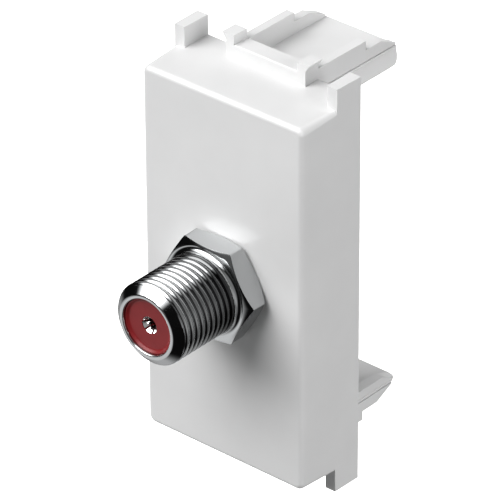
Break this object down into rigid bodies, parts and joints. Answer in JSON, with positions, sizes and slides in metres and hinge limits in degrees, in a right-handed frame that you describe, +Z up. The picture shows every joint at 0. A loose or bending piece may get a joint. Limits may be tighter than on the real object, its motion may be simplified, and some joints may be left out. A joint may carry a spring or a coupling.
{
  "type": "satellite television socket module",
  "caption": "White half-width wall-plate module with ribbed snap latches and a threaded coaxial through-coupler with a hexagonal flange.",
  "frame": {"origin": "on the coupler's axis, in the plane of the module's front face", "axes": "+X to the right seen from the front, +Y into the module away from the viewer, +Z up along the module's height"},
  "size_m": [0.0226, 0.0346, 0.0502],
  "materials": {
    "module_plastic": "white moulded plastic, satin gloss",
    "coupler_plating": "bright nickel plating on turned brass",
    "front_insulator_plastic": "dark red moulded plastic",
    "rear_insulator_plastic": "dark red moulded plastic",
    "contact_plating": "bright plated spring bronze",
    "washer_plating": "bright nickel plating on spring steel",
    "nut_plating": "bright nickel plating on brass"
  },
  "bodies": {
    "root": {"module_body": "module_plastic", "coupler_body": "coupler_plating", "front_insulator": "front_insulator_plastic", "rear_insulator": "rear_insulator_plastic", "centre_contact": "contact_plating", "lock_washer": "washer_plating", "panel_nut": "nut_plating"}
  },
  "joints": []
}
